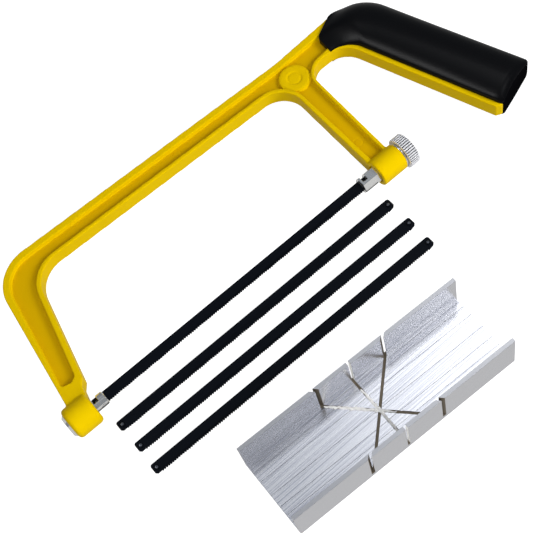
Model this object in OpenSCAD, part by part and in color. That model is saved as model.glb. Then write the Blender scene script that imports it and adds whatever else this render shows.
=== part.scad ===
// Junior hacksaw with its blade, three spare blades and an aluminium mitre box, laid out flat.
// +X runs along the mounted blade towards the tension nut, +Y towards the spine, +Z up.
// The saw lies on its side, so the plane of its blade is level.

/* [Blade] */
// Overall length of a blade
blade_l = 151; // [149:0.5:152]
// Width of a blade from its back to the tooth tips
blade_w = 5.4; // [4.8:0.1:5.8]
// Thickness of a blade
blade_t = 0.6; // [0.4:0.1:0.8]
// Distance from a blade's end to the centre of its cross pin
pin_inset = 2; // [1.8:0.1:2.3]
// Diameter of a cross pin
pin_d = 1.4; // [1.2:0.1:1.5]
// Length of a cross pin
pin_l = 3; // [2.4:0.1:3.6]
// Distance between teeth
tooth_pitch = 1.06; // [0.9:0.02:1.6]
// Height of a tooth
tooth_h = 0.55; // [0.3:0.05:0.6]

/* [Casting] */
// Height of the blade plane over the surface that the set lies on
mid_z = 8.5; // [8.5:0.1:10]
// Thickness of the cast frame at its flanges
cast_t = 7.5; // [7:0.1:8]
// Depth of the recess on each face
recess = 2.2; // [1.5:0.1:2.6]
// Diameter of the front boss
boss_d = 14.4; // [13:0.1:15]
// Diameter of the rear barrel
barrel_d = 12.6; // [12:0.1:14]

/* [Grip] */
// Depth of the grip from the finger side to its back
grip_deep = 28.3; // [27:0.1:29]
// Thickness of the grip
grip_t = 17; // [15:0.1:17]
// Wall of the grip behind the cast core
grip_wall = 4.5; // [3.5:0.1:5]

/* [Tensioner] */
// Diameter of the round front anchor
anchor_d = 6.3; // [6:0.1:6.6]
// Size of the drawbar across its flats
hex_af = 7; // [6.4:0.1:7.2]
// Width of the notch that takes a cross pin
notch_w = 2.4; // [2.4:0.1:2.6]
// Diameter of the threaded shank
shank_d = 5; // [4:0.1:5]
// Diameter of the knurled nut
nut_d = 15; // [14:0.1:16]
// Length of the knurled nut
nut_l = 5.2; // [4.8:0.1:7]
// Number of knurl ridges round the nut
knurls = 40; // [24:2:48]

/* [Mitre box] */
// Length of the mitre box
box_l = 110; // [100:1:120]
// Outside width of the mitre box
box_w = 36.5; // [34:0.5:38]
// Height of its walls
box_h = 20.5; // [18:0.5:22]
// Thickness of its walls
wall_t = 1.8; // [1.5:0.1:2.2]
// Thickness of its floor
floor_t = 2.6; // [2.2:0.1:3.2]
// Width of the saw slots
kerf = 1.2; // [1:0.1:1.6]

/* [Hidden] */
$fn = 64;

// Places below are on the saw: x = 0 near the front blade pin, y = 0 on the blade's line.
// This shift puts the middle of the whole set on the origin.
set_shift = [-110.4, 10.3, 0];

// Ends of the parts along the blade's line
front_pin_x = -0.8;
rear_pin_x = front_pin_x + blade_l - 2 * pin_inset;
boss_x = [-15.2, -2.7];
anchor_end = 3.3;
barrel_x = [152.9, 166];
bar_start = 144.3;
bar_bore_deep = 9;
washer_t = 0.8;

// Clearances
pin_play = 0.1;
fit_gap = 0.05;
slot_t = blade_t + 0.3;
notch_floor = -0.85;

// Corners and headings of the cast frame's straight edges
outer_corner = [-1.2, 80];
outer_r = 19;
arm_lean = 8;
spine_fall = 2.1;
inner_corner = [13.8, 67.6];
inner_r = 15;
inner_lean = 12.5;
inner_fall = 1.7;
rear_corner = [154.3, 63.4];
rear_r = 12.3;
rear_lean = 2.6;
hood_start = [191, 76.2];
d_top = 61;
d_front = 165.8;

// The handle leans away from the blade. Its finger side and its end are lines in its own axes.
handle_lean = 18;
finger_x = 196.5;
handle_end = -80.8;
end_rise = 0.4;
hood_centre = [197, 58];
grip_front = 180.6;
rim = 2.2;

// The round hub between the spine and the rear arm
hub_at = [159.5, 62.5];
hub_r = 7.3;

// Points of an arc from angle a0 to angle a1
function arc(c, r, a0, a1, n = 14) =
    [for (i = [0:n]) let (a = a0 + (a1 - a0) * i / n) c + r * [cos(a), sin(a)]];
// Round of radius r at the corner p, where an edge of heading h0 turns to heading h1
function corner(p, r, h0, h1, n = 14) = let (
    side = sign(h1 - h0),
    run = r * tan(abs(h1 - h0) / 2),
    c = p - run * [cos(h0), sin(h0)] + side * r * [-sin(h0), cos(h0)])
    arc(c, r, h0 - side * 90, h1 - side * 90, n);
function turned(p, a) = [p.x * cos(a) - p.y * sin(a), p.x * sin(a) + p.y * cos(a)];
function on_handle(x, y) = turned([x, y], handle_lean);

handle_down = handle_lean - 90;
finger_r = 12;
finger_corner = [(finger_x - d_top * sin(handle_lean)) / cos(handle_lean), d_top];
finger_centre = finger_corner - finger_r * [tan(45 - handle_lean / 2), 1];
grip_back = finger_x + grip_deep;
core_back = grip_back - grip_wall;
hood_r = grip_back - turned(hood_centre, -handle_lean).x;

cast_outline = concat(
    [[-4, 0], [-12.4, 0]],
    corner(outer_corner, outer_r, 90 - arm_lean, -spine_fall, 24),
    [[158, 74.2], hood_start],
    arc(hood_centre, hood_r - grip_wall, 105, handle_lean, 16),
    [on_handle(core_back, handle_end + 6), on_handle(core_back - 3, handle_end + 3)],
    [on_handle(finger_x + 2, handle_end + 0.8), on_handle(finger_x, handle_end + 2.8)],
    corner(finger_corner, finger_r, handle_down + 180, 180),
    corner([d_front, d_top], 9, 180, 268),
    [[163.6, 3], [152.6, 3]],
    corner(rear_corner, rear_r, 90 - rear_lean, 180 - inner_fall),
    corner(inner_corner, inner_r, 180 - inner_fall, 270 - inner_lean),
    [[1.3, 13.2], [1, 12], [-1.4, 9.2], [-2.7, 4]]);

// Edge of the recess between the flanges, the same on both faces
recess_outline = concat(
    [[-1, 15], [-3.6, 13.4], [-7.4, 14.2], [-8.4, 16]],
    arc([15.2, 60.4], 15.6, 180 - arm_lean, 90 - spine_fall, 20),
    [[158, 70.9], [184, 71.9], [184, 64.2], [178, 63]],
    arc([174.8, 52], 10.8, 90, 178),
    [[163.4, 40], [161.9, 5], [155, 5]],
    corner(rear_corner + [2, 1.7], 14, 90 - rear_lean, 180 - inner_fall),
    corner(inner_corner + [-1.9, 1.8], 16.5, 180 - inner_fall, 270 - inner_lean));

// Front edge of the grip on the casting, its finger side, its end and a loose line round its back
grip_outline = concat(
    [[grip_front, 69.2], [182.4, 71.7], [191.6, 76.2], [194, 90], [250, 80]],
    [on_handle(grip_back + 4, handle_end + end_rise + 3)],
    [on_handle(grip_back - 1, handle_end + end_rise + 1)],
    [on_handle(grip_back - 3, handle_end + end_rise)],
    [on_handle(finger_x + 4, handle_end), on_handle(finger_x + rim, handle_end + 1.5)],
    [for (i = [0:14]) let (a = handle_lean + i / 14 * (80 - handle_lean))
        finger_centre + (finger_r + rim * (1 - i / 14)) * [cos(a), sin(a)]]);

// Half of the grip's cross-section, from the finger side round to the back
edge_half = 4.2;
section = concat(
    [for (i = [0:8]) let (a = 180 - 90 * i / 8)
        [grip_deep / 2 * (1 + cos(a)), edge_half + (grip_t / 2 - edge_half) * sin(a)]],
    [for (i = [1:12]) let (a = 90 - 90 * i / 12)
        [grip_deep / 2 * (1 + cos(a)), grip_t / 2 * sin(a)]]);

// A blade seen from above, with its front pin on the origin and its teeth towards -y
tooth_room = 2.6;
tooth_count = floor((blade_l - 2 * tooth_room) / tooth_pitch);
tooth_start = (blade_l - tooth_count * tooth_pitch) / 2 - pin_inset;
blade_outline = concat(
    [[-pin_inset, -blade_w / 2 + 1.4], [-pin_inset + 0.9, -blade_w / 2 + tooth_h]],
    [for (i = [0:tooth_count - 1], k = [0, 1])
        [tooth_start + (i + 0.3 * k) * tooth_pitch, -blade_w / 2 + tooth_h * (1 - k)]],
    [[blade_l - pin_inset - 0.9, -blade_w / 2 + tooth_h], [blade_l - pin_inset, -blade_w / 2 + 1.4]],
    corner([blade_l - pin_inset, blade_w / 2], 1, 90, 180, 6),
    corner([-pin_inset, blade_w / 2], 1, 180, 270, 6));

// Where each spare blade's front pin lies, and the way it points
spare_at = [[1.4, -11.7], [1.7, -24.2], [1.1, -36.1]];
spare_turn = [-0.15, -0.35, -0.55];

// The mitre box: its near corner, the way it points, its slots and the grooves in its floor
box_at = [27.2, -95.5];
box_turn = -2.3;
slot_bottom = floor_t - 0.4;
floor_grooves = [4.9, 8.5, 12.7, 18.6, 25.7, 30.4, 33.1];

module laid() {
    translate(set_shift) children();
}

module on_axis(x) {
    translate([x, 0, mid_z]) rotate([0, 90, 0]) children();
}

// Cylinder of length l along +z with a round of radius r at both ends
module round_ended(l, d, r) {
    near = corner([d / 2, 0], r, 0, 90, 6);
    far = corner([d / 2, l], r, 90, 180, 6);
    rotate_extrude() polygon(concat([[0, 0]], near, far, [[0, l]]));
}

// Cast frame: front arm, spine, rear arm and handle core in one piece, with a boss at each end
module frame() {
    color([0.93, 0.76, 0.02]) laid() difference() {
        union() {
            difference() {
                translate([0, 0, mid_z - cast_t / 2]) linear_extrude(cast_t) polygon(cast_outline);
                for (side = [-1, 1]) {
                    translate([0, 0, mid_z + side * cast_t / 2 - recess])
                        linear_extrude(2 * recess) polygon(recess_outline);
                }
            }
            translate([hub_at.x, hub_at.y, mid_z - cast_t / 2 + 0.8])
                cylinder(h = cast_t - 1.6, r = hub_r);
            on_axis(boss_x[0]) round_ended(boss_x[1] - boss_x[0], boss_d, 1.8);
            on_axis(barrel_x[0]) round_ended(barrel_x[1] - barrel_x[0], barrel_d, 0.6);
        }
        on_axis(boss_x[0] - 1) cylinder(h = 16, d = anchor_d + 2 * fit_gap);
        on_axis(barrel_x[0] - 3) cylinder(h = bar_bore_deep + 3, d = hex_af / cos(30) + 0.2);
        on_axis(barrel_x[0]) cylinder(h = 16, d = shank_d + 6 * fit_gap);
    }
}

// The grip's cross-section, with its finger side on x = 0
module grip_section() {
    below = [for (i = [len(section) - 2:-1:0]) [section[i].x, -section[i].y]];
    polygon(concat(section, below));
}

// Moulded grip round the back and both sides of the handle core
module grip() {
    top = turned(hood_centre, -handle_lean).y;
    front_half = cast_t / 2 + 2;
    outer = [for (p = section) if (p.x > grip_deep - hood_r + 1) p - [grip_deep - hood_r, 0]];
    hood_section = concat([[0, -outer[0].y], [0, outer[0].y]], outer,
        [for (i = [len(outer) - 2:-1:0]) [outer[i].x, -outer[i].y]]);
    color([0.06, 0.06, 0.07]) laid() difference() {
        intersection() {
            translate([0, 0, mid_z]) union() {
                rotate([0, 0, handle_lean]) translate([finger_x, top, 0]) rotate([90, 0, 0])
                    linear_extrude(top - handle_end + 1) grip_section();
                translate([hood_centre.x, hood_centre.y, 0]) rotate([0, 0, handle_lean])
                    rotate_extrude(angle = 95) polygon(hood_section);
                translate([0, 0, -front_half]) linear_extrude(2 * front_half)
                    polygon([[grip_front - 1, d_top - 2], on_handle(finger_x, top - 1),
                        on_handle(finger_x + grip_deep - hood_r, top - 1), [hood_centre.x, 76.6],
                        [grip_front - 1, 75.8]]);
            }
            linear_extrude(40) polygon(grip_outline);
        }
        translate([0, 0, mid_z - cast_t / 2]) linear_extrude(cast_t) polygon(cast_outline);
    }
}

// Slot for the blade and cross notch for its pin, both open towards the spine
module holder_cuts(x0, x1, notch_x) {
    translate([x0, -10, mid_z - slot_t / 2]) cube([x1 - x0, 20, slot_t]);
    translate([notch_x - notch_w / 2, notch_floor, mid_z - 10]) cube([notch_w, 20, 20]);
}

// Headed round pin through the front boss, slotted at its inner end
module front_anchor() {
    head_t = 1.2;
    color([0.8, 0.81, 0.83]) laid() difference() {
        union() {
            on_axis(boss_x[0] - head_t) cylinder(h = head_t, d1 = 8.6, d2 = 11);
            on_axis(boss_x[0] - 0.5) cylinder(h = anchor_end - boss_x[0], d = anchor_d);
            on_axis(anchor_end - 0.5) cylinder(h = 0.5, d1 = anchor_d, d2 = anchor_d - 1);
        }
        holder_cuts(-6, anchor_end + 1, front_pin_x + pin_d / 2 + pin_play - notch_w / 2);
    }
}

// Hexagonal drawbar with a threaded shank, slotted at its inner end
module drawbar() {
    hex_end = barrel_x[0] + bar_bore_deep - 1;
    shank_end = barrel_x[1] + washer_t + nut_l + 0.8;
    color([0.8, 0.81, 0.83]) laid() difference() {
        union() {
            on_axis(bar_start) rotate([0, 0, 30])
                cylinder(h = hex_end - bar_start, d = hex_af / cos(30), $fn = 6);
            on_axis(hex_end - 2) cylinder(h = shank_end + 1.5 - hex_end, d = shank_d);
            on_axis(shank_end - 0.5) cylinder(h = 0.5, d1 = shank_d, d2 = shank_d - 1);
        }
        holder_cuts(bar_start - 1, bar_start + 6.5, rear_pin_x - pin_d / 2 - pin_play + notch_w / 2);
    }
}

// Washer between the barrel and the nut
module thrust_washer() {
    color([0.75, 0.76, 0.78]) laid() on_axis(barrel_x[1]) difference() {
        cylinder(h = washer_t, d = 11.6);
        translate([0, 0, -1]) cylinder(h = 3, d = shank_d + 6 * fit_gap);
    }
}

// Knurled round nut, dished on the side that faces the washer
module tension_nut() {
    step = 360 / knurls;
    ridge = 0.45;
    color([0.83, 0.84, 0.86]) laid() on_axis(barrel_x[1] + washer_t + fit_gap) difference() {
        intersection() {
            linear_extrude(nut_l) polygon([for (i = [0:knurls - 1], k = [0:3])
                (nut_d / 2 - (k < 2 ? 0 : ridge)) * [cos((i + k / 4) * step), sin((i + k / 4) * step)]]);
            rotate_extrude() polygon([[0, 0], [nut_d / 2 - 0.3, 0], [nut_d / 2, 0.3],
                [nut_d / 2, nut_l - 0.4], [nut_d / 2 - 0.4, nut_l], [0, nut_l]]);
        }
        translate([0, 0, -0.5]) cylinder(h = 1, d = nut_d - 2.6);
        translate([0, 0, -1]) cylinder(h = nut_l + 2, d = shank_d + 2 * fit_gap);
    }
}

module blade_steel() {
    color([0.05, 0.07, 0.09]) linear_extrude(blade_t, center = true) difference() {
        polygon(blade_outline);
        circle(d = pin_d);
        translate([blade_l - 2 * pin_inset, 0]) circle(d = pin_d);
    }
}

module cross_pin() {
    color([0.3, 0.31, 0.33]) cylinder(h = pin_l, d = pin_d, center = true);
}

module on_saw_blade(x = 0) {
    laid() translate([front_pin_x + x, 0, mid_z]) children();
}

// Spare blades lie on the ends of their pins
module on_spare(i, x = 0) {
    laid() translate([spare_at[i - 1].x, spare_at[i - 1].y, pin_l / 2])
        rotate([0, 0, spare_turn[i - 1]]) translate([x, 0, 0]) children();
}

module blade() { on_saw_blade() blade_steel(); }
module blade_front_pin() { on_saw_blade() cross_pin(); }
module blade_rear_pin() { on_saw_blade(blade_l - 2 * pin_inset) cross_pin(); }
module spare_blade(i) { on_spare(i) blade_steel(); }
module spare_front_pin(i) { on_spare(i) cross_pin(); }
module spare_rear_pin(i) { on_spare(i, blade_l - 2 * pin_inset) cross_pin(); }

// Extruded channel with a grooved floor, and one square and two 45 degree slots through its walls
module mitre_box() {
    color([0.8, 0.82, 0.85]) laid() translate([box_at.x, box_at.y, 0]) rotate([0, 0, box_turn])
        difference() {
            cube([box_l, box_w, box_h]);
            translate([-1, wall_t, floor_t]) cube([box_l + 2, box_w - 2 * wall_t, box_h]);
            for (y = floor_grooves) {
                translate([-1, y - 0.3, floor_t - 0.3]) cube([box_l + 2, 0.6, 1]);
            }
            for (a = [-45, 0, 45]) {
                translate([box_l / 2, box_w / 2, slot_bottom]) rotate([0, 0, a])
                    translate([-kerf / 2, -box_w, 0]) cube([kerf, 2 * box_w, box_h]);
            }
        }
}

frame();
grip();
front_anchor();
drawbar();
thrust_washer();
tension_nut();
blade();
blade_front_pin();
blade_rear_pin();
spare_blade(1);  // spare_blade_1
spare_front_pin(1);  // spare_1_front_pin
spare_rear_pin(1);  // spare_1_rear_pin
spare_blade(2);  // spare_blade_2
spare_front_pin(2);  // spare_2_front_pin
spare_rear_pin(2);  // spare_2_rear_pin
spare_blade(3);  // spare_blade_3
spare_front_pin(3);  // spare_3_front_pin
spare_rear_pin(3);  // spare_3_rear_pin
mitre_box();
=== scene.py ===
"""The looks of the junior hacksaw set: the saw lying on its side, three spare blades and a mitre box.

The grip, the knurled nut and the burrs are built here, and the other pieces start from their CAD nodes.
The casting gets round edges and inner corners, and machined pieces get a fine bevel.
"""

import math
import random

import bmesh
import bpy
import numpy as np
from mathutils import Matrix, Vector


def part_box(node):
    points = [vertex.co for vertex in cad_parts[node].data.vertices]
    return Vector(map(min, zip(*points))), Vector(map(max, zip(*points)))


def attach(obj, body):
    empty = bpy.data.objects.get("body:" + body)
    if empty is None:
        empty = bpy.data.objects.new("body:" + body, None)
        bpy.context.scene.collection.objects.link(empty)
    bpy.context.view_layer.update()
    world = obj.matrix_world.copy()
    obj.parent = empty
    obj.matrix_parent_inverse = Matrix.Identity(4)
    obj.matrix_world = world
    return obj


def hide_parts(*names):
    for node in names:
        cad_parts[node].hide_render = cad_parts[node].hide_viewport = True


MM = 0.001
UP = Vector((0, 0, 1))

# Where things are, in mm and degrees
SAW_SHIFT = (-110.4, 10.3)
MID_Z = 8.5
HANDLE_LEAN = 18
BOX_TURN = -2.3

# The casting: the name of the mark for its web, which gets painted shade, how near the middle a face counts
# as web, the hub's rings as radius and width, how far out the hub is dished, and the ejector marks
WEB_SHADE_MARK = "web"
WEB_REACH = 2.4
HUB = (159.5, 62.5)
HUB_RINGS = ((3.1, 0.9), (7.3, 1.0))
HUB_DISH = 2.6
EJECTOR_MARKS = ((96.1, 70.7), (157.7, 16.7))
EJECTOR_RING = (2.0, 0.5)

# The grip: its end and sides in the handle's own axes, half its thickness at its crest and at its lip, where
# the crest runs between its sides, and the height at which its end starts to round over
GRIP_END = -80.7
GRIP_NEAR, GRIP_FAR = 198.7, 224.8
GRIP_HALF, GRIP_LIP = 8.5, 4.35
GRIP_CREST = 0.42
GRIP_BLUNT = 4.2

# The knurled nut: its ridges, the points round each, and the bands of its outline whose grooves get painted
# shade
RIDGES = 40
RIDGE_STEPS = 12
RIDGE_RINGS = range(5, 8)

# The blades: where the teeth start below the line of the pins, and the wave in which they are set
TEETH_FROM = 2.1
TOOTH_SET = 0.13
SET_WAVE = 8.5

# The mitre box: its saw cuts, the top of its floor, and the points along a burr
SLOTS = (-45, 0, 45)
HALF_KERF = 0.6
BOX_FLOOR = 2.6
BURR_STEPS = 46

# The studio: where gloss sees a bright patch, how much narrower it is across, and the sky on matt surfaces
SOFTBOX = (0.34, 0.28)
NARROW = 2.5
AMBIENT = 0.42

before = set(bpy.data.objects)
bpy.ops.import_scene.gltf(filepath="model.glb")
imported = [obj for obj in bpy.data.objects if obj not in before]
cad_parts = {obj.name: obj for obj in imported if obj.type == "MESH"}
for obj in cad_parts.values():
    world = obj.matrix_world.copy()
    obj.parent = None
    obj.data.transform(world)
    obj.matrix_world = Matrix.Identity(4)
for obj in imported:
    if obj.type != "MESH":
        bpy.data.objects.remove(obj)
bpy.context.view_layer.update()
scene = bpy.context.scene


# Shapes


def link(name, mesh, body, slot, nodes, *materials):
    """Adds a piece that stands for its CAD nodes and moves with their body."""
    piece = bpy.data.objects.new(name, mesh)
    scene.collection.objects.link(piece)
    mesh.materials.clear()
    for material in materials:
        mesh.materials.append(material)
    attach(piece, body)
    if nodes:
        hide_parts(*nodes)


def merged_copy(node):
    """The node's mesh as one closed skin, with flat faces whole again."""
    bm = bmesh.new()
    bm.from_mesh(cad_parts[node].data)
    bmesh.ops.remove_doubles(bm, verts=bm.verts, dist=0.0005 * MM)
    flat = math.radians(0.3)
    bmesh.ops.dissolve_limit(bm, angle_limit=flat, verts=bm.verts, edges=bm.edges)
    mesh = bpy.data.meshes.new(node)
    bm.to_mesh(mesh)
    bm.free()
    return mesh


def modified(mesh, *settings):
    """The mesh after a list of modifiers, each given as its type and its values."""
    holder = bpy.data.objects.new("holder", mesh)
    scene.collection.objects.link(holder)
    for kind, values in settings:
        modifier = holder.modifiers.new(kind, kind)
        for key, value in values.items():
            setattr(modifier, key, value)
    seen = holder.evaluated_get(bpy.context.evaluated_depsgraph_get())
    result = bpy.data.meshes.new_from_object(seen)
    bpy.data.objects.remove(holder)
    return result


def bevel(width, segments, **more):
    """A modifier that breaks every edge sharper than 30 degrees."""
    return "BEVEL", {"width": width, "segments": segments, "limit_method": "ANGLE",
                     "angle_limit": math.radians(30), **more}


def cast(node, voxel, passes):
    """The node's shape with every edge and inner corner rounded, as cast or moulded."""
    return modified(
        merged_copy(node),
        ("REMESH", {"mode": "VOXEL", "voxel_size": voxel, "use_smooth_shade": True}),
        ("SMOOTH", {"factor": 0.5, "iterations": passes}),
    )


def machined(node, edge):
    """The node's shape with smooth shading and its sharp edges broken by a small bevel."""
    mesh = merged_copy(node)
    mesh.shade_smooth()
    return modified(mesh, bevel(edge, 2, harden_normals=True))


def faceted(node, edge):
    """The node's shape with flat shading and a fine bevel."""
    mesh = modified(merged_copy(node), bevel(edge, 1))
    mesh.shade_flat()
    return mesh


def rows_of(mesh, what):
    """The mesh's points ("co") or their normals ("normal") as rows of x, y and z."""
    flat = np.empty(len(mesh.vertices) * 3, np.float32)
    mesh.vertices.foreach_get(what, flat)
    return flat.reshape(-1, 3).astype(float)


def set_points(mesh, rows):
    mesh.vertices.foreach_set("co", rows.astype(np.float32).ravel())
    mesh.update()


# Materials


def principled(name, colour, rough, metal=0.0):
    """A material and its shader."""
    material = bpy.data.materials.new(name)
    material.use_nodes = True
    shader = material.node_tree.nodes["Principled BSDF"]
    shader.inputs["Base Color"].default_value = (*colour, 1)
    shader.inputs["Roughness"].default_value = rough
    shader.inputs["Metallic"].default_value = metal
    return material, shader


def plain(name, colour, rough, metal):
    """A material that is the same all over."""
    return principled(name, colour, rough, metal)[0]


def noise_of(material, per_mm, stretch=(1, 1, 1), detail=2.0, turn=0.0):
    """A noise texture's factor, in the piece's own space."""
    tree = material.node_tree
    place = tree.nodes.new("ShaderNodeTexCoord")
    mapping = tree.nodes.new("ShaderNodeMapping")
    mapping.inputs["Rotation"].default_value = (0, 0, turn)
    mapping.inputs["Scale"].default_value = [s * per_mm / MM for s in stretch]
    texture = tree.nodes.new("ShaderNodeTexNoise")
    texture.inputs["Scale"].default_value = 1
    texture.inputs["Detail"].default_value = detail
    tree.links.new(place.outputs["Object"], mapping.inputs["Vector"])
    tree.links.new(mapping.outputs["Vector"], texture.inputs["Vector"])
    return texture.outputs["Fac"]


def add_bump(material, shader, factor, depth, strength):
    bump = material.node_tree.nodes.new("ShaderNodeBump")
    bump.inputs["Strength"].default_value = strength
    bump.inputs["Distance"].default_value = depth
    material.node_tree.links.new(factor, bump.inputs["Height"])
    material.node_tree.links.new(bump.outputs["Normal"], shader.inputs["Normal"])


def add_ramp(tree, factor, socket, stops):
    """Drives a socket from a factor through colour stops, each a place and a colour."""
    ramp = tree.nodes.new("ShaderNodeValToRGB")
    ramp.color_ramp.elements[0].position = stops[0][0]
    ramp.color_ramp.elements[1].position = stops[-1][0]
    for place, _ in stops[1:-1]:
        ramp.color_ramp.elements.new(place)
    for element, (_, colour) in zip(ramp.color_ramp.elements, stops):
        element.color = (*colour, 1)
    tree.links.new(factor, ramp.inputs["Fac"])
    tree.links.new(ramp.outputs["Color"], socket)


def powder_coat():
    """Yellow powder with a random mottle, and painted shade on the recessed web, which the mesh's own value
    marks.
    """
    material, shader = principled("yellow powder coat", (0.74, 0.5, 0.0), 0.45)
    tree = material.node_tree
    # The web's mark, which drives the painted shade on the recessed web
    web = tree.nodes.new("ShaderNodeAttribute")
    web.attribute_name = WEB_SHADE_MARK
    mottle_and_web_shade = tree.nodes.new("ShaderNodeMath")
    mottle_and_web_shade.operation = "MULTIPLY_ADD"
    mottle_and_web_shade.inputs[1].default_value = 0.4
    tree.links.new(noise_of(material, 0.16, detail=4), mottle_and_web_shade.inputs[0])
    tree.links.new(web.outputs["Fac"], mottle_and_web_shade.inputs[2])
    # From the flange's yellow to a deeper yellow on the web: painted shade for the recess, mixed with a
    # random mottle
    add_ramp(tree, mottle_and_web_shade.outputs["Value"], shader.inputs["Base Color"],
             [(0.0, (0.73, 0.5, 0.0)), (0.4, (0.69, 0.46, 0.0)), (1.0, (0.61, 0.37, 0.0))])
    shader.inputs["Specular IOR Level"].default_value = 0.06
    shader.inputs["Specular Tint"].default_value = (1, 0.8, 0.2, 1)
    add_bump(material, shader, noise_of(material, 1.1, detail=3), 0.05 * MM, 0.5)
    return material


def grip_rubber():
    material, shader = principled("black grip", (0.0015, 0.0015, 0.002), 0.34)
    shader.inputs["Specular IOR Level"].default_value = 0.15
    add_bump(material, shader, noise_of(material, 4, detail=2), 0.02 * MM, 0.35)
    return material


def matt_rubber():
    """The grip's end face, which shows no gloss."""
    material, shader = principled("grip end", (0.002, 0.002, 0.0025), 0.9)
    shader.inputs["Specular IOR Level"].default_value = 0
    return material


def blade_paint():
    material, shader = principled("blade paint", (0.0022, 0.0035, 0.0065), 0.36)
    shader.inputs["Specular IOR Level"].default_value = 0.06
    add_bump(material, shader, noise_of(material, 1.4, detail=3), 0.03 * MM, 0.4)
    return material


def mill_aluminium():
    """The channel's floor, streaked along its length by the die."""
    material, shader = principled("extruded aluminium", (0.8, 0.8, 0.82), 0.25, 0.9)
    drawn = noise_of(material, 2.4, (0.004, 1, 1), 4, -math.radians(BOX_TURN))
    add_ramp(material.node_tree, drawn, shader.inputs["Base Color"],
             [(0.34, (0.54, 0.55, 0.61)), (0.48, (0.76, 0.76, 0.8)), (0.66, (0.88, 0.88, 0.9))])
    add_bump(material, shader, drawn, 0.012 * MM, 0.5)
    return material


def wall_aluminium():
    """The channel's walls, which the die left plainer than its floor."""
    material, shader = principled("plain aluminium", (0.8, 0.8, 0.83), 0.22, 0.9)
    add_bump(material, shader, noise_of(material, 3, (0.1, 1, 1), 3), 0.01 * MM, 0.3)
    return material


def floor_white():
    """White to the eye, duller in gloss and grey to the light that reaches matt surfaces."""
    material, shader = principled("floor", (0.42, 0.42, 0.42), 0.9)
    shader.inputs["Specular IOR Level"].default_value = 0
    shader.inputs["Emission Color"].default_value = (1, 1, 1, 1)
    shader.inputs["Emission Strength"].default_value = 0.92
    tree = material.node_tree
    path = tree.nodes.new("ShaderNodeLightPath")
    grey = tree.nodes.new("ShaderNodeBsdfDiffuse")
    grey.inputs["Color"].default_value = (0.36, 0.36, 0.36, 1)
    bright = tree.nodes.new("ShaderNodeEmission")
    bright.inputs["Strength"].default_value = 0.52
    last = add_look(tree, path, "Is Glossy Ray", grey.outputs["BSDF"], bright.outputs["Emission"])
    last = add_look(tree, path, "Is Camera Ray", last, shader.outputs["BSDF"])
    tree.links.new(last, tree.nodes["Material Output"].inputs["Surface"])
    return material


def add_look(tree, path, ray, otherwise, look):
    """One look for one kind of ray, and another for the rest."""
    mix = tree.nodes.new("ShaderNodeMixShader")
    tree.links.new(path.outputs[ray], mix.inputs["Fac"])
    tree.links.new(otherwise, mix.inputs[1])
    tree.links.new(look, mix.inputs[2])
    return mix.outputs["Shader"]


YELLOW, RUBBER, MATT = powder_coat(), grip_rubber(), matt_rubber()
CHROME = plain("chrome", (0.95, 0.95, 0.93), 0.07, 0.9)
NUT_CHROME = plain("nut chrome", (0.97, 0.97, 1.0), 0.35, 0.55)
# Painted shade for the bottoms of the nut's grooves
GROOVE_SHADE = plain("nut groove painted shade", (0.08, 0.08, 0.075), 0.5, 1.0)
PAINT = blade_paint()
PIN = plain("pin steel", (0.12, 0.13, 0.15), 0.35, 1.0)
ALUMINIUM, WALL = mill_aluminium(), wall_aluminium()
# A darker grey for the sloped bevels and the wall tops
EDGE = plain("darker grey edge", (0.5, 0.5, 0.52), 0.3, 0.9)
# Painted shade for the faces inside the saw cuts
SAWN_SHADE = plain("sawn aluminium painted shade", (0.2, 0.165, 0.12), 0.5, 0.5)
# A near-white matt colour, a painted glint, for the straight cut's walls and the burrs
TORN_GLINT = plain("torn aluminium painted glint", (0.95, 0.94, 0.92), 0.5, 0.1)


# The saw


def on_saw(x, y):
    """A place in the saw's axes of the CAD source, in mm, as x and y in metres in the shared frame."""
    return np.array([x + SAW_SHIFT[0], y + SAW_SHIFT[1]]) * MM


def ring(rows, centre, radius, width):
    """1 on a ring round a place on the saw, falling to 0 within about its width."""
    distance = np.hypot(*(rows[:, :2] - on_saw(*centre)).T) / MM
    return np.exp(-((distance - radius) / (width / 2)) ** 2)


def make_frame():
    """The casting, with the hub's rings and the round ejector marks in its web, the same on both faces."""
    mesh = cast("frame", 0.32 * MM, 4)
    rows = rows_of(mesh, "co")
    height = rows[:, 2] - MID_Z * MM
    flat = np.abs(rows_of(mesh, "normal")[:, 2]) > 0.8
    # The web mask marks the recessed web, which the yellow darkens as painted shade
    web = flat & (np.abs(height) < WEB_REACH * MM)
    mesh.attributes.new(WEB_SHADE_MARK, "FLOAT", "POINT").data.foreach_set("value", web.astype(np.float32))
    dish = np.hypot(*(rows[:, :2] - on_saw(*HUB)).T) < HUB_DISH * MM
    depth = 0.15 * dish + sum(0.4 * ring(rows, HUB, *size) for size in HUB_RINGS)
    depth += sum(0.2 * ring(rows, mark, *EJECTOR_RING) for mark in EJECTOR_MARKS)
    rows[:, 2] -= np.sign(height) * flat * depth * MM
    set_points(mesh, rows)
    link("cast_frame", mesh, "saw", "yellow_casting", ["frame"], YELLOW)


def arc(centre, radius, start, end, count):
    angles = np.radians(np.linspace(start, end, count))
    return [(centre[0] + radius * math.cos(a), centre[1] + radius * math.sin(a)) for a in angles]


def on_handle(x, y):
    """A place in the handle's own axes, which lean away from the blade."""
    lean = math.radians(HANDLE_LEAN)
    return (x * math.cos(lean) - y * math.sin(lean), x * math.sin(lean) + y * math.cos(lean))


def along(corners, shares):
    """Points on a polyline at shares of its length."""
    line = np.array(corners, float)
    steps = np.hypot(*np.diff(line, axis=0).T)
    reach = np.concatenate([[0], np.cumsum(steps)]) / steps.sum()
    return np.stack([np.interp(shares, reach, line[:, k]) for k in (0, 1)], axis=1)


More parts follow.
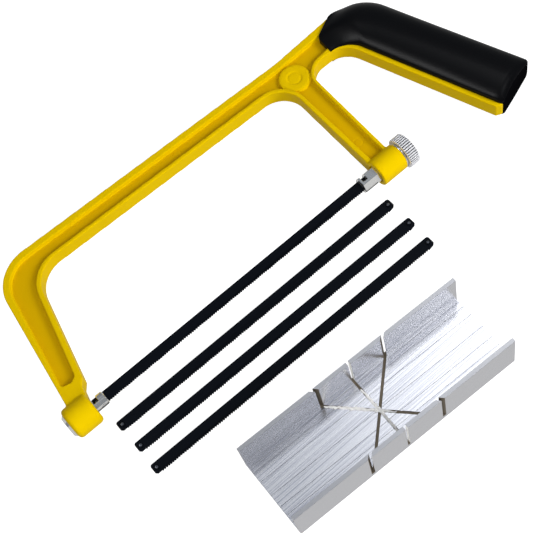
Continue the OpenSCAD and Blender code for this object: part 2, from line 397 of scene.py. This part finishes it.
def ease(x):
    x = np.clip(x, 0, 1)
    return x * x * (3 - 2 * x)


def edge_drop(distance, radius):
    """How far a face falls at a distance from an edge that is rounded to a radius."""
    inside = np.clip(radius - distance, 0, radius)
    return radius - np.sqrt(radius ** 2 - inside ** 2)


def finger_side():
    """The grip's edge under the fingers: an arc that opens as it turns into the handle's straight."""
    centre, start = (178.07, 49), 80
    tight, opens = 12, 2.2
    turn = [(math.radians(a), tight + opens * (start - a) / (start - HANDLE_LEAN))
            for a in np.linspace(start, HANDLE_LEAN, 18)]
    return [(centre[0] + r * math.cos(a), centre[1] + r * math.sin(a)) for a, r in turn]


def grip_patch(rows, columns):
    """The grip from above: a patch between its finger side, its back, its front edge and its end."""
    finger = finger_side()
    front = [finger[0], (180.7, 69.2)] + arc((184.2, 68.6), 3.5, 172, 118, 6) + [(191.7, 76.3)]
    end = [on_handle(x, GRIP_END + rise) for x, rise in (
        (GRIP_NEAR, 2), (GRIP_NEAR + 0.4, 0.9), (GRIP_NEAR + 1.6, 0.1), (GRIP_FAR - 3.4, 0.5),
        (GRIP_FAR - 1.5, 1.1), (GRIP_FAR - 0.3, 2.4), (GRIP_FAR, 4))]
    back = arc((197, 58), 19.5, 106.5, HANDLE_LEAN, 24) + [end[-1]]
    finger.append(end[0])
    finger, back = along(finger, columns), along(back, columns)
    front, end = along(front, rows), along(end, rows)
    v, u = rows[:, None, None], columns[None, :, None]
    sides = (1 - v) * finger[None] + v * back[None]
    tips = (1 - u) * front[:, None] + u * end[:, None]
    corners = ((1 - v) * ((1 - u) * finger[0] + u * finger[-1]) + v * ((1 - u) * back[0] + u * back[-1]))
    return sides + tips - corners


def grip_height(patch):
    """Half the grip's thickness over each point of the patch: full along its crest, thin at its front lip."""
    front_rise, back_rise, dome = 20, 12, 5
    across = np.hypot(*np.moveaxis(np.diff(patch, axis=0), 2, 0))
    across = np.vstack([np.zeros(patch.shape[1]), np.cumsum(across, axis=0)])
    along_it = np.hypot(*np.moveaxis(np.diff(patch, axis=1), 2, 0))
    along_it = np.hstack([np.zeros((patch.shape[0], 1)), np.cumsum(along_it, axis=1)])
    to_end = along_it[:, -1:] - along_it
    share = across / across[-1]
    crown = GRIP_LIP + (GRIP_HALF - GRIP_LIP) * ease((along_it + 1) / front_rise) ** 0.75
    finger_half = share < GRIP_CREST
    edge = np.where(finger_half, GRIP_LIP, GRIP_LIP * (1 - ease(along_it / back_rise)))
    off_crest = np.abs(share - GRIP_CREST) / np.where(finger_half, GRIP_CREST, 1 - GRIP_CREST)
    height = edge + (crown - edge) * np.sqrt(1 - np.clip(off_crest, 0, 1) ** 1.7)
    blunt = np.minimum(height, GRIP_BLUNT)
    height = blunt + (height - blunt) * np.sqrt(1 - np.clip(1 - to_end / dome, 0, 1) ** 2)
    for distance, radius in ((to_end, 0.5), (along_it, 0.5), (across, 0.45)):
        height = height - edge_drop(distance, radius)
    return height


def make_grip():
    """A soft moulding that wraps the back and both faces of the handle."""
    rows = 0.5 - 0.5 * np.cos(np.linspace(0, math.pi, 72))
    columns = 0.5 - 0.5 * np.cos(np.linspace(0, math.pi, 220))
    patch = grip_patch(rows, columns)
    height = grip_height(patch)
    low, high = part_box("grip")
    middle = (low.z + high.z) / 2 / MM
    place = (patch + np.array(SAW_SHIFT)).reshape(-1, 2)
    upper = np.column_stack([place, middle + height.ravel()])
    lower = np.column_stack([place, middle - height.ravel()])
    index = np.arange(height.size).reshape(height.shape)
    faces = []
    for i in range(height.shape[0] - 1):
        for j in range(height.shape[1] - 1):
            quad = [index[i, j], index[i, j + 1], index[i + 1, j + 1], index[i + 1, j]]
            faces.append(quad)
            faces.append([k + index.size for k in reversed(quad)])
    rim = list(index[0]) + list(index[1:, -1]) + list(index[-1, -2::-1]) + list(index[-2:0:-1, 0])
    for a, b in zip(rim, rim[1:] + rim[:1]):
        faces.append([b, a, a + index.size, b + index.size])
    mesh = bpy.data.meshes.new("grip")
    mesh.from_pydata((np.vstack([upper, lower]) * MM).tolist(), [], [[int(k) for k in f] for f in faces])
    mesh.validate()
    mesh.shade_smooth()
    mesh.set_sharp_from_angle(angle=math.radians(50))
    link("moulded_grip", mesh, "saw", "black_grip", ["grip"], RUBBER, MATT)
    outward = Vector((*on_handle(0, -1), 0))
    for face in mesh.polygons:
        face.material_index = int(face.normal.dot(outward) > 0.8)


def nut_profile(radius):
    """The nut's outline as distances from its axis and along it: its dish, front edge and back edge."""
    bore = 2.55
    dish = [(bore, 0.5), (radius - 1.5, 0.5), (radius - 1.3, 0.3), (radius - 1.25, 0.0)]
    front = [(radius - 0.5, 0.0), (radius - 0.15, 0.12), (radius, 0.35)]
    back = [(radius, 4.8), (radius - 0.15, 5.05), (radius - 0.45, 5.2), (bore, 5.2)]
    return dish + front + back


def knurled_nut():
    """A round nut with straight rounded ridges, a chamfer at each end and a dish that faces the washer."""
    low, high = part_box("tension_nut")
    centre, radius, length = (low + high) / 2, (high.z - low.z) / 2 / MM, high.x - low.x
    groove_depth, groove_fade = 0.4, 0.8
    profile = nut_profile(radius)
    count = RIDGES * RIDGE_STEPS
    rows = []
    for reach, place in profile:
        share = max(0.0, 1 - (radius - reach) / groove_fade)
        for k in range(count):
            angle = 2 * math.pi * k / count
            wave = 0.5 - 0.5 * math.cos(RIDGES * angle)
            r = (reach - groove_depth * share * wave ** 2) * MM
            x = low.x + min(place * MM, length)
            rows.append((x, centre.y + r * math.cos(angle), centre.z + r * math.sin(angle)))
    faces = []
    for level in range(len(profile)):
        following = (level + 1) % len(profile)
        for k in range(count):
            after = (k + 1) % count
            faces.append([level * count + k, level * count + after, following * count + after,
                          following * count + k])
    mesh = bpy.data.meshes.new("knurled_nut")
    mesh.from_pydata(rows, [], faces)
    mesh.shade_smooth()
    mesh.set_sharp_from_angle(angle=math.radians(38))
    return mesh


def make_tensioner():
    """The blade's two holders, the washer and the nut, whose grooves along its side get painted shade."""
    fine, shaded_groove_share = 0.15 * MM, 0.2
    link("anchor_pin", faceted("front_anchor", fine), "saw", "chrome", ["front_anchor"], CHROME)
    link("hexagonal_drawbar", faceted("drawbar", fine), "drawbar", "chrome", ["drawbar"], CHROME)
    link("washer", machined("thrust_washer", fine), "saw", "chrome", ["thrust_washer"], CHROME)
    nut = knurled_nut()
    link("knurled_nut", nut, "nut", "knurled_chrome", ["tension_nut"], NUT_CHROME, GROOVE_SHADE)
    # Faces at the bottoms of the grooves in the middle bands take the painted shade
    for number, face in enumerate(nut.polygons):
        level, k = divmod(number, RIDGES * RIDGE_STEPS)
        off_groove = abs(k % RIDGE_STEPS - RIDGE_STEPS / 2 + 0.5)
        face.material_index = int(off_groove < RIDGE_STEPS * shaded_groove_share and level in RIDGE_RINGS)


def make_blade(blade, front_pin, rear_pin, body):
    """A blade with a wavy set in its teeth, and its two pins."""
    mesh = merged_copy(blade)
    front, rear = (sum(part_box(pin), Vector()) / 2 for pin in (front_pin, rear_pin))
    run = (rear - front).normalized()
    rows = rows_of(mesh, "co") - np.array(front)
    reach, aside = rows @ np.array(run), rows @ np.array(UP.cross(run))
    teeth = aside < -TEETH_FROM * MM
    rows[:, 2] += teeth * TOOTH_SET * MM * np.sin(2 * math.pi * reach / (SET_WAVE * MM))
    set_points(mesh, rows + np.array(front))
    mesh.shade_flat()
    link(blade + "_steel", mesh, body, "blade_steel", [blade], PAINT)
    for pin in (front_pin, rear_pin):
        link(pin + "_steel", machined(pin, 0.15 * MM), body, "pin_steel", [pin], PIN)


# The mitre box


def box_surface(face, centre, floor_top, wall_top):
    """What a face of the channel shows: painted shade in its cuts, a painted glint on the straight cut's
    walls, darker grey edges, plain walls, a streaked floor.
    """
    steep, kerf = abs(face.normal.z), HALF_KERF * MM
    for cut in SLOTS:
        turn = math.radians(cut + BOX_TURN)
        across = Vector((math.cos(turn), math.sin(turn), 0))
        off = abs((face.center - centre).dot(across))
        # Inside a cut the floor takes painted shade; the straight cut's walls take a painted glint, the
        # diagonal cuts' walls painted shade
        if face.normal.z > 0.9 and off < kerf and face.center.z < floor_top - 0.35 * MM:
            return SAWN_SHADE
        if abs(face.normal.dot(across)) > 0.95 and abs(off - kerf) < 0.1 * MM:
            return TORN_GLINT if cut == 0 else SAWN_SHADE
    if steep < 0.5:
        return WALL
    on_top = face.center.z > wall_top - 0.3 * MM
    return EDGE if steep < 0.9 or on_top else ALUMINIUM


def make_box():
    """The channel, with painted shade on the faces inside its saw cuts and a painted glint on the walls of
    the straight cut.
    """
    mesh = faceted("mitre_box", 0.2 * MM)
    surfaces = (ALUMINIUM, SAWN_SHADE, TORN_GLINT, WALL, EDGE)
    link("channel", mesh, "mitre_box", "mill_aluminium", ["mitre_box"], *surfaces)
    low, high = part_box("mitre_box")
    centre, floor_top = (low + high) / 2, low.z + BOX_FLOOR * MM
    for face in mesh.polygons:
        face.material_index = surfaces.index(box_surface(face, centre, floor_top, high.z))
    make_burrs(centre, floor_top)


def make_burrs(centre, floor_top):
    """Torn metal left along two of the cuts in the floor: a low ragged ridge that bridges the cut."""
    chance = random.Random(7)
    half_width, sunk = 16 * MM, -0.05 * MM
    rows, faces = [], []
    for cut, start, end in ((45, -1.0, 0.3), (0, -0.75, 0.85)):
        turn = math.radians(cut + BOX_TURN)
        run = Vector((math.sin(turn), -math.cos(turn), 0))
        across = UP.cross(run)
        reach = half_width / math.cos(math.radians(cut))
        for k in range(BURR_STEPS):
            share = start + (end - start) * k / (BURR_STEPS - 1)
            heart = centre + run * reach * share + across * chance.uniform(-0.25, 0.25) * MM
            width = chance.uniform(0.5, 0.95) * MM * math.sin(math.pi * (k + 0.5) / BURR_STEPS) ** 0.3
            rise = chance.uniform(0.06, 0.32) * MM
            section = ((-width, sunk), (-width * 0.4, rise), (width * 0.5, rise * 0.8), (width, sunk))
            for aside, high in section:
                rows.append(heart + across * aside + UP * (floor_top + high - heart.z))
            if k:
                last = len(rows) - 8
                faces += [[last + j, last + j + 1, last + j + 5, last + j + 4] for j in range(3)]
    mesh = bpy.data.meshes.new("saw_burrs")
    mesh.from_pydata(rows, [], faces)
    mesh.validate()
    # The burrs take the near-white matt colour, a painted glint
    link("saw_burrs", mesh, "mitre_box", "mill_aluminium", [], TORN_GLINT)


make_frame()
make_grip()
make_tensioner()
make_blade("blade", "blade_front_pin", "blade_rear_pin", "blade")
for i in (1, 2, 3):
    make_blade(f"spare_blade_{i}", f"spare_{i}_front_pin", f"spare_{i}_rear_pin", f"spare_{i}")
make_box()


# The studio


def make_floor():
    bpy.ops.mesh.primitive_plane_add(size=6)
    floor = bpy.context.object
    floor.name = "floor"
    floor.data.materials.append(floor_white())


def area_light(name, direction, size, power, glossy):
    """A square lamp that shines at the middle of the set from a direction, on gloss only or on matt only."""
    distance = 1.2
    data = bpy.data.lights.new(name, "AREA")
    data.size = size
    data.energy = power
    lamp = bpy.data.objects.new(name, data)
    lamp.visible_glossy = glossy
    lamp.visible_diffuse = not glossy
    scene.collection.objects.link(lamp)
    away = Vector(direction).normalized()
    lamp.location = away * distance
    lamp.rotation_euler = away.to_track_quat("Z", "Y").to_euler()


def background(tree, strength):
    """A white sky of a strength."""
    sky = tree.nodes.new("ShaderNodeBackground")
    sky.inputs["Strength"].default_value = strength
    sky.inputs["Color"].default_value = (1, 1, 1, 1)
    return sky


def softbox_distance(tree):
    """How far a direction is from the nearer of two bright patches, which mirror each other in Y."""
    place = tree.nodes.new("ShaderNodeTexCoord")
    parts = tree.nodes.new("ShaderNodeSeparateXYZ")
    both_ways = tree.nodes.new("ShaderNodeMath")
    both_ways.operation = "ABSOLUTE"
    narrowed = tree.nodes.new("ShaderNodeMath")
    narrowed.operation = "MULTIPLY"
    narrowed.inputs[1].default_value = NARROW
    again = tree.nodes.new("ShaderNodeCombineXYZ")
    off = tree.nodes.new("ShaderNodeVectorMath")
    off.operation = "DISTANCE"
    off.inputs[1].default_value = (SOFTBOX[0], SOFTBOX[1] * NARROW, 0)
    tree.links.new(place.outputs["Generated"], parts.inputs["Vector"])
    tree.links.new(parts.outputs["Y"], both_ways.inputs[0])
    tree.links.new(both_ways.outputs["Value"], narrowed.inputs[0])
    tree.links.new(parts.outputs["X"], again.inputs["X"])
    tree.links.new(narrowed.outputs["Value"], again.inputs["Y"])
    tree.links.new(again.outputs["Vector"], off.inputs[0])
    return off.outputs["Value"]


def make_world():
    """White all round to the eye, an even sky for matt surfaces, and a dark room with two lamps for gloss."""
    world = bpy.data.worlds.new("studio")
    world.use_nodes = True
    scene.world = world
    tree = world.node_tree
    tree.nodes.clear()
    fall = ((0.0, 1.0), (0.1, 0.9), (0.17, 0.5), (0.26, 0.17), (0.34, 0.06), (0.8, 0.04))
    stops = [(place, (v * (0.8 + 0.2 * v), v * (0.88 + 0.12 * v), v)) for place, v in fall]
    room, even, white = background(tree, 4.3), background(tree, AMBIENT), background(tree, 1.1)
    add_ramp(tree, softbox_distance(tree), room.inputs["Color"], stops)
    path = tree.nodes.new("ShaderNodeLightPath")
    last = add_look(tree, path, "Is Diffuse Ray", room.outputs["Background"], even.outputs["Background"])
    last = add_look(tree, path, "Is Camera Ray", last, white.outputs["Background"])
    out = tree.nodes.new("ShaderNodeOutputWorld")
    tree.links.new(last, out.inputs["Surface"])


def make_camera():
    """The photograph's view: high over the front of the set, rolled so that the blades climb to the right."""
    look, climb, roll = (math.radians(angle) for angle in (21.98, 62.02, 19.86))
    target, distance = Vector((-0.0206, 0.0095, 0.0085)), 0.5284
    forward = Vector((math.sin(look) * math.cos(climb), math.cos(look) * math.cos(climb), -math.sin(climb)))
    level = forward.cross(UP).normalized()
    right = Matrix.Rotation(roll, 3, forward) @ level
    upward = right.cross(forward)
    data = bpy.data.cameras.new("camera")
    data.lens = 84.2
    data.sensor_width = 36
    camera = bpy.data.objects.new("camera", data)
    scene.collection.objects.link(camera)
    turn = Matrix((right, upward, -forward)).transposed()
    camera.matrix_world = Matrix.Translation(target - distance * forward) @ turn.to_4x4()
    scene.camera = camera


make_floor()
area_light("key", (0.6, -0.6, 0.53), 0.4, 10.2, glossy=False)
area_light("fill", (-0.35, -0.8, 0.49), 0.7, 6.6, glossy=False)
area_light("sheen", (-0.48, 0.185, 0.85), 0.45, 4, glossy=True)
make_world()
make_camera()
scene.view_settings.view_transform = "Standard"
